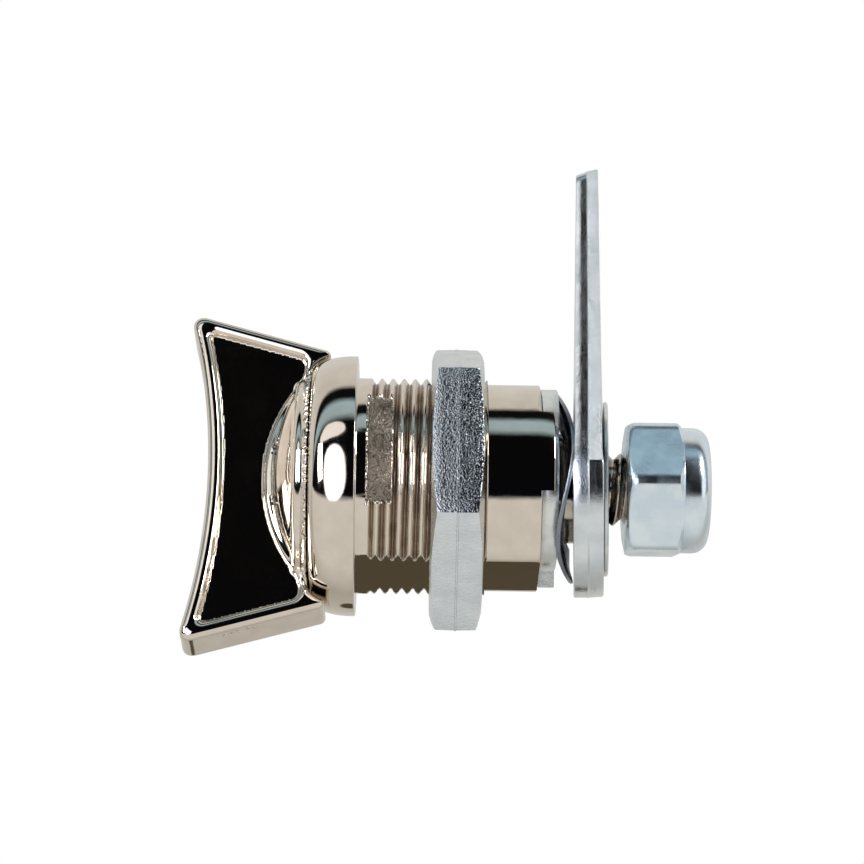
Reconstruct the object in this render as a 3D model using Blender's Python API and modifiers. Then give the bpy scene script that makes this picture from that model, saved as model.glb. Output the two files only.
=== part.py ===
"""Wing knob cam latch: a quarter-turn latch that is turned by hand, without a key.

The latch axis is the world X axis. The origin is the centre of the flange's rear face, where the
door panel lies. The knob is at -X, outside the door, and the cam at +X, inside it. At rest the cam
and the knob's wings stand along Z. Angles about the axis are measured from -Y towards +Z.
"""

from math import atan2, cos, degrees, pi, radians, sin, sqrt

import bmesh
import bpy
from mathutils import Matrix, Vector

# Clearances
GAP = 0.0003  # between two pieces that touch or slide on each other

# Housing: flange, neck, thread and barrel are one casting
THREAD_DIA = 0.0190
FLANGE_LIP = 0.0019  # from the thread out to the flange's edge
FLANGE_EDGE = 0.0020  # from the flat front face out to the flange's edge
FLANGE_HEIGHT = 0.0040
FLANGE_RIM = 0.0013  # straight part of the flange's edge
THREAD_END = 0.0113
THREAD_CHAMFER = 0.0005
BARREL_STEP = 0.00045  # from the thread in to the barrel
BARREL_END = 0.01575
BARREL_EDGE = 0.0002
FLAT_DEPTH = 0.0012  # of each flat that stops the housing turning in a double-D hole
LUG_LENGTH = 0.00125
LUG_WALL = 0.00155  # from the barrel in to the lugs' inner side

# Quarter turn
TRAVEL_DEG = 90.0
TAB_WIDTH_DEG = 38.0
TAB_STEP = 0.00035  # from the barrel in to the tabs' ends

# Spindle
HEAD_DIA = 0.0060  # end that the knob is cast around
HEAD_LENGTH = 0.0024
JOURNAL_DIA = 0.0100
DRIVE_WIDTH = 0.0080  # square that carries the stop washer and the cam
DRIVE_SHORT = 0.00055  # from the square's end to the cam's back
STUD_DIA = 0.00635
STUD_SHORT = 0.0005  # from the stud's end to the lock nut's end
STUD_CHAMFER = 0.0006

# Wing knob
KNOB_REACH = 0.0152  # from the panel to the wing tips, before they are rounded
KNOB_SPAN = 0.0314
KNOB_HOLLOW = 0.0022  # depth of the curved front edge
KNOB_THICKNESS = 0.0050
TIP_RADIUS = 0.0015
HEEL_BACK = 0.0025  # from the panel to the wings' back corners
HEEL_WALL = 0.0004  # wing left outside the flange
RIM_WIDTH = 0.0014  # raised border of the sunk panel on each side
PANEL_DEPTH = 0.0006
PANEL_CORNER = 0.0006
WING_GAP = 0.00035  # between the wings and the flange's dome
HUB_EDGE = 0.0002  # from the hub out to the edge of the flange's flat face
COLLAR_HEIGHT = 0.0010
COLLAR_STEP = 0.0011  # from the hub in to its dome
DOME_HEIGHT = 0.00316

# Mounting nut
NUT_WALL = 0.0020  # from the thread out to each flat side
NUT_HEIGHT = 0.0045
NUT_FRONT = 0.00646
NUT_CHAMFER = 0.0005  # along the axis, at the corners
NUT_TURN_DEG = -2.2

# Stop washer, wave washer, cam and thin washer
STOP_THICKNESS = 0.0014
WAVE_DIA = 0.0166
WAVE_THICKNESS = 0.00035
WAVE_HEIGHT = 0.0002  # each way from the washer's middle
WAVES = 3
CAM_GAP = 0.0016  # room for the wave washer, along the axis
CAM_LENGTH = 0.0275  # from the axis to the tip
CAM_WIDTH = 0.0190
CAM_THICKNESS = 0.0025
CAM_TIP_RADIUS = 0.0010
CAM_LEAN_DEG = 3.25  # the lock nut is backed off, so the loose cam leans on the spindle
CAM_TILT_DEG = 0.4  # and its tip stands away from the knob
THIN_DIA = 0.0153
THIN_THICKNESS = 0.00035

# Lock nut
LOCK_WIDTH = 0.01111
LOCK_SLACK = 0.00125  # from the thin washer to the lock nut, along the axis
LOCK_HEX_HEIGHT = 0.0048
LOCK_HEIGHT = 0.0073
LOCK_CHAMFER = 0.0007
LOCK_TURN_DEG = 14.6
CHAMFER_SLOPE_DEG = 30.0
COLLAR_DIA = 0.0110
COLLAR_ROUND = 0.0014
INSERT_DIA = 0.0088
INSERT_LENGTH = 0.0017
INSERT_END = 0.0007  # from the insert's pocket to the nut's rounded end

# Facets of the round shapes
ROUND_STEPS = 64
SMALL_STEPS = 40
DOME_STEPS = 6
CORNER_STEPS = 5
CUT_EXTRA = 0.0010  # how far a cutter runs past what it cuts

# Diameters that follow from the thread's
FLANGE_DIA = THREAD_DIA + 2 * FLANGE_LIP
FLANGE_FACE_DIA = FLANGE_DIA - 2 * FLANGE_EDGE
BARREL_DIA = THREAD_DIA - 2 * BARREL_STEP
POCKET_DIA = BARREL_DIA - 2 * LUG_WALL
STOP_DIA = POCKET_DIA - 2 * GAP
TAB_DIA = BARREL_DIA - 2 * TAB_STEP
HUB_DIA = FLANGE_FACE_DIA - 2 * HUB_EDGE
DOME_DIA = HUB_DIA - 2 * COLLAR_STEP
NUT_WIDTH = THREAD_DIA + 2 * NUT_WALL

# Places along the axis that follow from the sizes above
FLANGE_FRONT = -FLANGE_HEIGHT
HUB_BACK = FLANGE_FRONT - GAP
STOP_FRONT = BARREL_END + GAP
STOP_BACK = STOP_FRONT + STOP_THICKNESS
CAM_CENTRE = STOP_BACK + CAM_GAP + CAM_THICKNESS / 2
THIN_OFFSET = CAM_THICKNESS / 2 + GAP + THIN_THICKNESS / 2
LOCK_FRONT = CAM_CENTRE + THIN_OFFSET + THIN_THICKNESS / 2 + LOCK_SLACK
DRIVE_END = CAM_CENTRE + CAM_THICKNESS / 2 - DRIVE_SHORT
STUD_END = LOCK_FRONT + LOCK_HEIGHT - STUD_SHORT

# Half angle of each stop lug: what the travel, the tab and its clearance leave of the half turn
TAB_CLEAR_DEG = degrees(GAP / (TAB_DIA / 2))
LUG_HALF_DEG = (180 - TRAVEL_DEG - TAB_WIDTH_DEG - 2 * TAB_CLEAR_DEG) / 2
TAB_REST_DEG = LUG_HALF_DEG + TAB_CLEAR_DEG + TAB_WIDTH_DEG / 2

# Local Z along the latch axis, with local X up the cam and local Y towards -Y of the world
ALONG_AXIS = Matrix(((0, 0, 1), (0, -1, 0), (1, 0, 0))).to_4x4()
# Local X along the latch axis and local Y up, for the outline of the wings
SIDE_ON = Matrix.Rotation(pi / 2, 4, "X")


def clear_scene():
    for thing in list(bpy.data.objects):
        bpy.data.objects.remove(thing, do_unlink=True)
    for group in list(bpy.data.collections):
        bpy.data.collections.remove(group)


def new_collection(name):
    group = bpy.data.collections.new(name)
    bpy.context.scene.collection.children.link(group)
    return group


def finish(name, colour, roughness, metallic):
    material = bpy.data.materials.new(name)
    material.use_nodes = True
    surface = material.node_tree.nodes["Principled BSDF"]
    surface.inputs["Base Color"].default_value = (*colour, 1)
    surface.inputs["Roughness"].default_value = roughness
    surface.inputs["Metallic"].default_value = metallic
    return material


clear_scene()
PARTS = new_collection("wing_knob_cam_latch")
CUTTERS = new_collection("cutters")
NICKEL = finish("nickel_plate", (0.62, 0.58, 0.52), 0.12, 1.0)
ZINC = finish("zinc_plate", (0.66, 0.70, 0.74), 0.30, 1.0)
SPRING_STEEL = finish("spring_steel", (0.28, 0.30, 0.34), 0.35, 1.0)
NYLON = finish("nylon", (0.75, 0.76, 0.70), 0.55, 0.0)


def add(name, mesh, matrix=None, material=None):
    """Links an object: a part where it has a material, and otherwise a cutter."""
    thing = bpy.data.objects.new(name, mesh)
    (PARTS if material else CUTTERS).objects.link(thing)
    if matrix:
        thing.matrix_world = matrix
    if material:
        mesh.materials.append(material)
    else:
        thing.hide_render = True
        thing.display_type = "WIRE"
    return thing


def smooth(thing):
    thing.data.shade_smooth()
    thing.data.set_sharp_from_angle(angle=radians(30))


def turned(name, profile, material=None, steps=ROUND_STEPS, loop=True):
    """A profile of (distance along the axis, radius) turned about the latch axis.

    The points run along the outer side from the cam's end to the knob's end, and a loop comes
    back along the bore.
    """
    shape = bmesh.new()
    points = [shape.verts.new((radius, 0, along)) for along, radius in profile]
    ends = points[1:] + points[:1] if loop else points[1:]
    for first, second in zip(points, ends):
        shape.edges.new((first, second))
    mesh = bpy.data.meshes.new(name)
    shape.to_mesh(mesh)
    shape.free()
    thing = add(name, mesh, ALONG_AXIS, material)
    screw = thing.modifiers.new("turn", "SCREW")
    screw.steps = steps
    screw.render_steps = steps
    screw.use_merge_vertices = True
    screw.merge_threshold = 0.00001
    screw.use_smooth_shade = True
    return thing


def plate(name, outlines, thickness, matrix, material=None):
    """A flat piece from closed outlines in its own XY plane, centred on that plane."""
    curve = bpy.data.curves.new(name, "CURVE")
    curve.dimensions = "2D"
    curve.fill_mode = "BOTH"
    curve.extrude = thickness / 2
    for outline in outlines:
        spline = curve.splines.new("POLY")
        spline.points.add(len(outline) - 1)
        for point, (across, up) in zip(spline.points, outline):
            point.co = (across, up, 0, 1)
        spline.use_cyclic_u = True
    guide = add(name + "_outline", curve)
    bpy.context.view_layer.update()
    graph = bpy.context.evaluated_depsgraph_get()
    mesh = bpy.data.meshes.new_from_object(guide.evaluated_get(graph))
    bpy.data.objects.remove(guide)
    shape = bmesh.new()
    shape.from_mesh(mesh)
    bmesh.ops.remove_doubles(shape, verts=shape.verts, dist=0.000001)
    bmesh.ops.recalc_face_normals(shape, faces=shape.faces)
    shape.to_mesh(mesh)
    shape.free()
    mesh.name = name
    return add(name, mesh, matrix, material)


def box(name, size, centre):
    shape = bmesh.new()
    bmesh.ops.create_cube(shape, size=1, matrix=Matrix.Diagonal((*size, 1)))
    mesh = bpy.data.meshes.new(name)
    shape.to_mesh(mesh)
    shape.free()
    return add(name, mesh, Matrix.Translation(centre))


def join(thing, other, operation="DIFFERENCE"):
    change = thing.modifiers.new(other.name, "BOOLEAN")
    change.operation = operation
    change.solver = "EXACT"
    change.object = other


def arc(radius, start_deg, end_deg, steps):
    """Points on an arc about the outline's centre, from one angle to the other."""
    angles = [radians(start_deg + (end_deg - start_deg) * i / steps) for i in range(steps + 1)]
    return [(radius * cos(angle), radius * sin(angle)) for angle in angles]


def polygon(width, sides, turn_deg=0.0):
    """A regular polygon by its width across flats, with a flat side facing turn_deg."""
    radius = width / 2 / cos(pi / sides)
    turns = [turn_deg + 360 * (i + 0.5) / sides for i in range(sides)]
    return [(radius * cos(radians(turn)), radius * sin(radians(turn))) for turn in turns]


def rounded(points, radius, which):
    """The closed outline with the numbered corners rounded to the radius."""
    result = []
    for index, point in enumerate(points):
        if index not in which:
            result.append(point)
            continue
        corner = Vector(point)
        before = (Vector(points[index - 1]) - corner).normalized()
        after = (Vector(points[(index + 1) % len(points)]) - corner).normalized()
        half = before.angle(after) / 2
        centre = corner + (before + after).normalized() * radius / sin(half)
        start = corner + before * radius / (sin(half) / cos(half)) - centre
        end = corner + after * radius / (sin(half) / cos(half)) - centre
        sweep = start.angle_signed(end)
        for i in range(CORNER_STEPS + 1):
            spoke = Matrix.Rotation(-sweep * i / CORNER_STEPS, 2) @ start
            result.append(tuple(centre + spoke))
    return result


def inset(points, distance):
    """The closed outline moved inwards, each point along the middle of its two sides."""
    result = []
    for index, point in enumerate(points):
        here = Vector(point)
        before = (here - Vector(points[index - 1])).normalized()
        after = (Vector(points[(index + 1) % len(points)]) - here).normalized()
        normal = Vector((-before.y - after.y, before.x + after.x)).normalized()
        slope = normal.dot(Vector((-after.y, after.x)))
        result.append(tuple(here + normal * distance / slope))
    return result


def hexagon_cutter(name, width, start, end, turn_deg):
    """What lies outside a hexagon, to turn a round blank into a nut."""
    outside = polygon(width * 2, 4)
    hole = polygon(width, 6, turn_deg)
    middle = Matrix.Translation(((start + end) / 2, 0, 0))
    return plate(name, [outside, hole], end - start, middle @ ALONG_AXIS)


def flange_dome(grow=0.0):
    """The rounded front of the flange, from its edge to its flat face, or the same curve grown."""
    deep = FLANGE_HEIGHT - FLANGE_RIM + grow
    wide = (FLANGE_DIA - FLANGE_FACE_DIA) / 2 + grow
    turns = [radians(90 * i / DOME_STEPS) for i in range(DOME_STEPS + 1)]
    base = FLANGE_FACE_DIA / 2
    return [(-FLANGE_RIM - deep * sin(turn), base + wide * cos(turn)) for turn in turns]


def make_housing():
    bore = JOURNAL_DIA / 2 + GAP
    thread = THREAD_DIA / 2
    barrel = BARREL_DIA / 2
    pocket = POCKET_DIA / 2
    lug_end = BARREL_END + LUG_LENGTH
    profile = [
        (lug_end, pocket),
        (lug_end, barrel - BARREL_EDGE),
        (lug_end - BARREL_EDGE, barrel),
        (THREAD_END, barrel),
        (THREAD_END - THREAD_CHAMFER, thread),
        (0, thread),
        (0, FLANGE_DIA / 2),
    ]
    profile += flange_dome()
    profile += [(FLANGE_FRONT, bore), (BARREL_END, bore), (BARREL_END, pocket)]
    housing = turned("housing", profile, NICKEL)

    flat_length = lug_end + CUT_EXTRA - GAP
    for side in (1, -1):
        centre = Vector((GAP + flat_length / 2, 0, side * (THREAD_DIA - FLAT_DEPTH)))
        join(housing, box(f"flat_cutter_{side}", (flat_length, THREAD_DIA, THREAD_DIA), centre))

    # The lugs are what is left of the barrel's end between two windows for the tabs
    length = LUG_LENGTH + CUT_EXTRA
    place = Matrix.Translation((BARREL_END + length / 2, 0, 0)) @ ALONG_AXIS
    for side, middle in (("up", 0), ("down", 180)):
        half = 90 - LUG_HALF_DEG
        outside = arc(BARREL_DIA, middle - half, middle + half, CORNER_STEPS * 2)
        inside = arc(pocket - GAP, middle + half, middle - half, CORNER_STEPS * 2)
        join(housing, plate(f"window_cutter_{side}", [outside + inside], length, place))
    return housing


def make_spindle():
    head = HEAD_DIA / 2
    journal = JOURNAL_DIA / 2
    stud = STUD_DIA / 2
    profile = [
        (STUD_END, 0),
        (STUD_END, stud - STUD_CHAMFER),
        (STUD_END - STUD_CHAMFER, stud),
        (DRIVE_END, stud),
        (DRIVE_END, journal),
        (FLANGE_FRONT, journal),
        (FLANGE_FRONT, head),
        (HUB_BACK - HEAD_LENGTH, head),
        (HUB_BACK - HEAD_LENGTH, 0),
    ]
    spindle = turned("drive_spindle", profile, NICKEL, SMALL_STEPS, loop=False)
    length = DRIVE_END + CUT_EXTRA - BARREL_END
    place = Matrix.Translation((BARREL_END + length / 2, 0, 0)) @ ALONG_AXIS
    around = [polygon(JOURNAL_DIA * 2, 4), polygon(DRIVE_WIDTH, 4)]
    join(spindle, plate("drive_cutter", around, length, place))
    return spindle


def wing_front():
    """The hollow front edge of the wings, from the upper tip to the lower one."""
    half = KNOB_SPAN / 2
    radius = (half**2 + KNOB_HOLLOW**2) / (2 * KNOB_HOLLOW)
    sweep = degrees(atan2(half, radius - KNOB_HOLLOW))
    centre = -KNOB_REACH - (radius - KNOB_HOLLOW)
    return [(centre + x, z) for x, z in arc(radius, sweep, -sweep, CORNER_STEPS * 4)]


def wing_outline():
    """The wings' outline seen from the side: along the axis, and up."""
    front = wing_front()
    heel = FLANGE_DIA / 2 + GAP + HEEL_WALL
    deep = FLANGE_HEIGHT - FLANGE_RIM + WING_GAP
    wide = (FLANGE_DIA - FLANGE_FACE_DIA) / 2 + WING_GAP
    start = FLANGE_FACE_DIA / 2 + wide * sqrt(1 - ((HEEL_BACK - FLANGE_RIM) / deep) ** 2)
    beside = [(x, z) for x, z in flange_dome(WING_GAP) if HUB_BACK < x < -HEEL_BACK]
    back = [(-HEEL_BACK, heel), (-HEEL_BACK, start), *beside, (HUB_BACK, HUB_DIA / 2)]
    lower = [(x, -z) for x, z in back]
    return rounded(front + lower + back[::-1], TIP_RADIUS, {0, len(front) - 1})


def panel_outline():
    """The sunk panel: the wings without their raised rim, as far back as the hub's dome."""
    front = wing_front()
    heel = (-HEEL_BACK - HEEL_WALL, FLANGE_DIA / 2 + GAP + HEEL_WALL)
    beside = (HUB_BACK - COLLAR_HEIGHT, DOME_DIA / 2)
    shrunk = inset([*front, (heel[0], -heel[1]), heel], RIM_WIDTH)
    outline = shrunk[:-1] + [(beside[0], -beside[1]), beside] + shrunk[-1:]
    return rounded(outline, PANEL_CORNER, {0, len(front) - 1})


def make_knob():
    knob = plate("wing_knob", [wing_outline()], KNOB_THICKNESS, SIDE_ON, NICKEL)
    half = KNOB_THICKNESS / 2
    for side in (1, -1):
        depth = PANEL_DEPTH + CUT_EXTRA
        place = Matrix.Translation((0, side * (half - PANEL_DEPTH + depth / 2), 0)) @ SIDE_ON
        join(knob, plate(f"panel_cutter_{side}", [panel_outline()], depth, place))

    dome = DOME_DIA / 2
    radius = (dome**2 + DOME_HEIGHT**2) / (2 * DOME_HEIGHT)
    front = HUB_BACK - COLLAR_HEIGHT
    centre = front - DOME_HEIGHT + radius
    sweep = atan2(dome, radius - DOME_HEIGHT)
    turns = [sweep * (1 - i / DOME_STEPS) for i in range(DOME_STEPS)]
    profile = [(HUB_BACK, 0), (HUB_BACK, HUB_DIA / 2), (front, HUB_DIA / 2)]
    profile += [(centre - radius * cos(turn), radius * sin(turn)) for turn in turns]
    profile.append((front - DOME_HEIGHT, 0))
    hub = turned("hub", profile, loop=False)
    join(knob, hub, "UNION")

    pocket = HEAD_LENGTH + GAP
    end = HUB_BACK + CUT_EXTRA
    socket = [
        (end, 0),
        (end, HEAD_DIA / 2 + GAP),
        (HUB_BACK - pocket, HEAD_DIA / 2 + GAP),
        (HUB_BACK - pocket, 0),
    ]
    join(knob, turned("head_cutter", socket, steps=SMALL_STEPS, loop=False))
    return knob


def nut_blank(start, height, width, chamfer):
    """The outside of a nut's round blank: as wide as its corners, with both ends chamfered."""
    corner = width / 2 / cos(pi / 6)
    face = corner - chamfer / sin(radians(CHAMFER_SLOPE_DEG)) * cos(radians(CHAMFER_SLOPE_DEG))
    end = start + height
    return [(end, face), (end - chamfer, corner), (start + chamfer, corner), (start, face)]


def make_mounting_nut():
    bore = THREAD_DIA / 2 + GAP
    end = NUT_FRONT + NUT_HEIGHT
    outside = nut_blank(NUT_FRONT, NUT_HEIGHT, NUT_WIDTH, NUT_CHAMFER)
    nut = turned("mounting_nut", [(end, bore), *outside, (NUT_FRONT, bore)], ZINC)
    start = NUT_FRONT - CUT_EXTRA
    join(nut, hexagon_cutter("mounting_hex", NUT_WIDTH, start, end + CUT_EXTRA, 90 - NUT_TURN_DEG))
    return nut


def make_stop_washer():
    disc = STOP_DIA / 2
    tab = TAB_DIA / 2
    outline = []
    for side in (0, 180):
        # Outline angles run from +Z, and the rest angle from -Y
        first = 90 - TAB_REST_DEG - TAB_WIDTH_DEG / 2 + side
        last = first + TAB_WIDTH_DEG
        outline += arc(tab, first, last, CORNER_STEPS)
        outline += arc(disc, last, first + 180, CORNER_STEPS * 4)
    hole = polygon(DRIVE_WIDTH + 2 * GAP, 4)
    place = Matrix.Translation(((STOP_FRONT + STOP_BACK) / 2, 0, 0)) @ ALONG_AXIS
    return plate("stop_washer", [outline, hole], STOP_THICKNESS, place, ZINC)


def make_wave_washer():
    """A thin ring that waves along the axis, and leans half as much as the cam behind it."""
    inner = min(JOURNAL_DIA, DRIVE_WIDTH * sqrt(2)) / 2 + GAP
    outer = WAVE_DIA / 2
    middle = STOP_BACK + CAM_GAP / 2
    slope = sin(radians(CAM_LEAN_DEG / 2))
    shape = bmesh.new()
    rings = []
    for radius in (inner, (inner + outer) / 2, outer):
        ring = []
        for i in range(ROUND_STEPS):
            turn = 2 * pi * i / ROUND_STEPS
            across = -radius * cos(turn)
            along = middle + across * slope + WAVE_HEIGHT * cos(WAVES * turn)
            ring.append(shape.verts.new((along, across, radius * sin(turn))))
        rings.append(ring)
    for near, far in zip(rings, rings[1:]):
        for i in range(ROUND_STEPS):
            j = (i + 1) % ROUND_STEPS
            shape.faces.new((near[i], far[i], far[j], near[j]))
    mesh = bpy.data.meshes.new("wave_washer")
    shape.to_mesh(mesh)
    shape.free()
    washer = add("wave_washer", mesh, material=SPRING_STEEL)
    sheet = washer.modifiers.new("sheet", "SOLIDIFY")
    sheet.thickness = WAVE_THICKNESS
    sheet.offset = 0
    return washer


def leaning():
    """Where the cam sits: its -Y side leans towards the knob, and its tip away from it."""
    lean = Matrix.Rotation(-radians(CAM_LEAN_DEG), 4, "Z")
    tilt = Matrix.Rotation(radians(CAM_TILT_DEG), 4, "Y")
    return Matrix.Translation((CAM_CENTRE, 0, 0)) @ tilt @ lean


def make_cam():
    half = CAM_WIDTH / 2
    outline = [(CAM_LENGTH, half)] + arc(half, 90, 270, ROUND_STEPS // 2) + [(CAM_LENGTH, -half)]
    outline = rounded(outline, CAM_TIP_RADIUS, {0, len(outline) - 1})
    hole = polygon(DRIVE_WIDTH + 2 * GAP, 4)
    return plate("cam", [outline, hole], CAM_THICKNESS, leaning() @ ALONG_AXIS, ZINC)


def make_thin_washer():
    rim = arc(THIN_DIA / 2, 0, 360, SMALL_STEPS)[:-1]
    # The hole allows for the lean over the washer's own thickness and offset
    slant = THIN_OFFSET * 2 * sin(radians(CAM_LEAN_DEG + CAM_TILT_DEG))
    hole = arc(STUD_DIA / 2 + GAP + slant, 0, 360, SMALL_STEPS)[:-1]
    place = leaning() @ Matrix.Translation((THIN_OFFSET, 0, 0)) @ ALONG_AXIS
    return plate("thin_washer", [rim, hole], THIN_THICKNESS, place, ZINC)


def make_lock_nut():
    bore = STUD_DIA / 2 + GAP
    collar = COLLAR_DIA / 2
    end = LOCK_FRONT + LOCK_HEIGHT
    pocket_back = end - INSERT_END
    pocket_front = pocket_back - INSERT_LENGTH - 2 * GAP
    pocket = INSERT_DIA / 2 + GAP
    turns = [radians(90 * i / DOME_STEPS) for i in range(DOME_STEPS + 1)]
    crown = [
        (end - COLLAR_ROUND * (1 - cos(turn)), collar - COLLAR_ROUND * (1 - sin(turn)))
        for turn in turns
    ]
    outside = nut_blank(LOCK_FRONT, LOCK_HEX_HEIGHT, LOCK_WIDTH, LOCK_CHAMFER)
    profile = [
        (end, bore),
        *crown,
        (LOCK_FRONT + LOCK_HEX_HEIGHT, collar),
        *outside,
        (LOCK_FRONT, bore),
        (pocket_front, bore),
        (pocket_front, pocket),
        (pocket_back, pocket),
        (pocket_back, bore),
    ]
    nut = turned("lock_nut", profile, ZINC, SMALL_STEPS)
    start = LOCK_FRONT - CUT_EXTRA
    stop = LOCK_FRONT + LOCK_HEX_HEIGHT
    join(nut, hexagon_cutter("lock_hex", LOCK_WIDTH, start, stop, 90 - LOCK_TURN_DEG))
    return nut


def make_insert():
    back = LOCK_FRONT + LOCK_HEIGHT - INSERT_END - GAP
    front = back - INSERT_LENGTH
    outside = INSERT_DIA / 2
    bore = STUD_DIA / 2 + GAP
    profile = [(back, bore), (back, outside), (front, outside), (front, bore)]
    return turned("lock_nut_insert", profile, NYLON, SMALL_STEPS)


for make in (
    make_housing,
    make_knob,
    make_spindle,
    make_mounting_nut,
    make_stop_washer,
    make_wave_washer,
    make_cam,
    make_thin_washer,
    make_lock_nut,
    make_insert,
):
    smooth(make())
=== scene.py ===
"""Wing knob cam latch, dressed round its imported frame.

Sizes are in millimetres and are turned into metres where a mesh is made. The latch axis is X, the
knob is at -X, and angles about the axis run from -Y, where the viewer stands, towards +Z.
"""

from math import acos, atan2, cos, pi, radians, sin, sqrt

import bmesh
import bpy
import numpy as np
from mathutils import Matrix, Vector


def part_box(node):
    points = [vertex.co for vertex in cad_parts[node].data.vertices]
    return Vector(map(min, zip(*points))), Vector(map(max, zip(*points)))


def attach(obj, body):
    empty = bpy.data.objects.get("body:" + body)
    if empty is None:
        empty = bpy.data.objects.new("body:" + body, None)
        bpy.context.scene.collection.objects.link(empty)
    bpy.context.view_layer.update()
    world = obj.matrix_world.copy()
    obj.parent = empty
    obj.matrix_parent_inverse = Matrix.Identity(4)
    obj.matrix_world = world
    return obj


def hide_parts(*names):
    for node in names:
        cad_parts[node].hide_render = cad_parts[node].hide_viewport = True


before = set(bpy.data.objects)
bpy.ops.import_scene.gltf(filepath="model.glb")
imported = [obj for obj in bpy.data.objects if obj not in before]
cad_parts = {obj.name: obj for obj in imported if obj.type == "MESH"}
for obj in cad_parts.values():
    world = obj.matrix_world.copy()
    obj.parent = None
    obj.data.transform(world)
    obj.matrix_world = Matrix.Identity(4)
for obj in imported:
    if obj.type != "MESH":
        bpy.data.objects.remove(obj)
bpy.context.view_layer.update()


# Studio: a pale floor, and a room that the polished metal mirrors. The room is pale behind and
# below, dark towards the viewer, and hung with a few panels. The camera looks up from below.

MM = 0.001
CAMERA_DISTANCE = 256.0
CAMERA_RISE_DEG = -24.2
CAMERA_YAW_DEG = -0.42
CAMERA_ROLL_DEG = -0.62
CAMERA_AIM = (6.54, 4.85)  # along the axis, and up across the view
VIEW_WIDTH = 75.86  # what the picture takes in at the aim's distance
SENSOR_WIDTH = 36.0
FLOOR_DROP = 190.0
FLOOR_SIZE = 6000.0
FLOOR_CELLS = 8
WINDOW_POWER = 2.4  # a panel is an oval that is a little squarer than an ellipse

yaw = Matrix.Rotation(radians(CAMERA_YAW_DEG), 3, "Z")
rise = radians(CAMERA_RISE_DEG)
towards_camera = yaw @ Vector((0, -cos(rise), sin(rise)))
view_right = yaw @ Vector((1, 0, 0))
view_up = yaw @ Vector((0, sin(rise), cos(rise)))
aim = Vector((CAMERA_AIM[0], 0, 0)) + CAMERA_AIM[1] * view_up
camera_data = bpy.data.cameras.new("camera")
camera_data.sensor_width = SENSOR_WIDTH
camera_data.lens = SENSOR_WIDTH * CAMERA_DISTANCE / VIEW_WIDTH
camera_data.clip_start = 0.005
camera = bpy.data.objects.new("camera", camera_data)
bpy.context.scene.collection.objects.link(camera)
facing = Matrix((view_right, view_up, towards_camera)).transposed().to_4x4()
roll = Matrix.Rotation(radians(-CAMERA_ROLL_DEG), 4, "Z")
camera.matrix_world = Matrix.Translation((aim + CAMERA_DISTANCE * towards_camera) * MM) @ facing @ roll
bpy.context.scene.camera = camera
bpy.context.scene.view_settings.view_transform = "Standard"


def wire(tree, *links):
    """Joins sockets in pairs: each source to its target."""
    for source, target in links:
        tree.links.new(source, target)


def shade_ramp(tree, source, stops, mode="LINEAR"):
    """A colour ramp fed by a value. Each stop is a place from 0 to 1 and a grey or a colour."""
    node = tree.nodes.new("ShaderNodeValToRGB")
    node.color_ramp.interpolation = mode
    while len(node.color_ramp.elements) < len(stops):
        node.color_ramp.elements.new(0.5)
    for element, (place, tone) in zip(node.color_ramp.elements, stops):
        element.position = place
        element.color = (*((tone,) * 3 if isinstance(tone, (int, float)) else tone), 1)
    tree.links.new(source, node.inputs["Fac"])
    return node.outputs["Color"]


def calculate(tree, kind, first, second=None, third=None):
    """A maths node on one, two or three sockets or numbers."""
    node = tree.nodes.new("ShaderNodeMath")
    node.operation = kind
    for socket, value in zip(node.inputs, (first, second, third)):
        if isinstance(value, (int, float)):
            socket.default_value = value
        elif value is not None:
            tree.links.new(value, socket)
    return node.outputs[0]


world = bpy.data.worlds.new("studio")
bpy.context.scene.world = world
world.use_nodes = True
room = world.node_tree
room.nodes.clear()
where = room.nodes.new("ShaderNodeTexCoord").outputs["Generated"]
turn = room.nodes.new("ShaderNodeVectorRotate")
turn.rotation_type = "X_AXIS"
turn.inputs["Angle"].default_value = radians(CAMERA_RISE_DEG)
wire(room, (where, turn.inputs["Vector"]))
split = room.nodes.new("ShaderNodeSeparateXYZ")
wire(room, (turn.outputs[0], split.inputs[0]))
towards = calculate(room, "MULTIPLY", split.outputs["Y"], -1.0)
# Height about the latch axis, in turns: 0.5 towards the viewer, 0.75 overhead, 0.25 below, 0 behind
height = calculate(room, "ARCTAN2", split.outputs["Z"], towards)
height = calculate(room, "MULTIPLY_ADD", height, 0.5 / pi, 0.5)
surround = shade_ramp(
    room,
    height,
    [
        (0.0, (0.66, 0.65, 0.62)),
        (0.20, (0.48, 0.46, 0.42)),
        (0.29, (0.72, 0.71, 0.68)),
        (0.466, (0.74, 0.73, 0.70)),
        (0.480, (0.0025, 0.0025, 0.004)),
        (0.670, (0.003, 0.003, 0.003)),
        (0.692, (0.38, 0.50, 0.55)),
        (0.722, (0.40, 0.54, 0.62)),
        (0.740, (0.004, 0.005, 0.005)),
        (0.768, (0.005, 0.005, 0.005)),
        (0.784, (0.66, 0.64, 0.60)),
        (0.88, (0.74, 0.73, 0.71)),
        (1.0, (0.66, 0.65, 0.62)),
    ],
)
sideways = split.outputs["X"]


def window(sideways_range, height_range, fade=0.16):
    """A mask over a part of the room, by its place sideways and its height about the latch axis."""
    sides = []
    for source, (low, high) in ((sideways, sideways_range), (height, height_range)):
        middle = calculate(room, "SUBTRACT", source, (low + high) / 2)
        sides.append(calculate(room, "DIVIDE", middle, (high - low) / 2))
    squares = [calculate(room, "POWER", calculate(room, "ABSOLUTE", side), WINDOW_POWER) for side in sides]
    reach = calculate(room, "ADD", *squares)
    return shade_ramp(room, reach, [(1.0 - fade, 1.0), (1.0, 0.0)])


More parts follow.
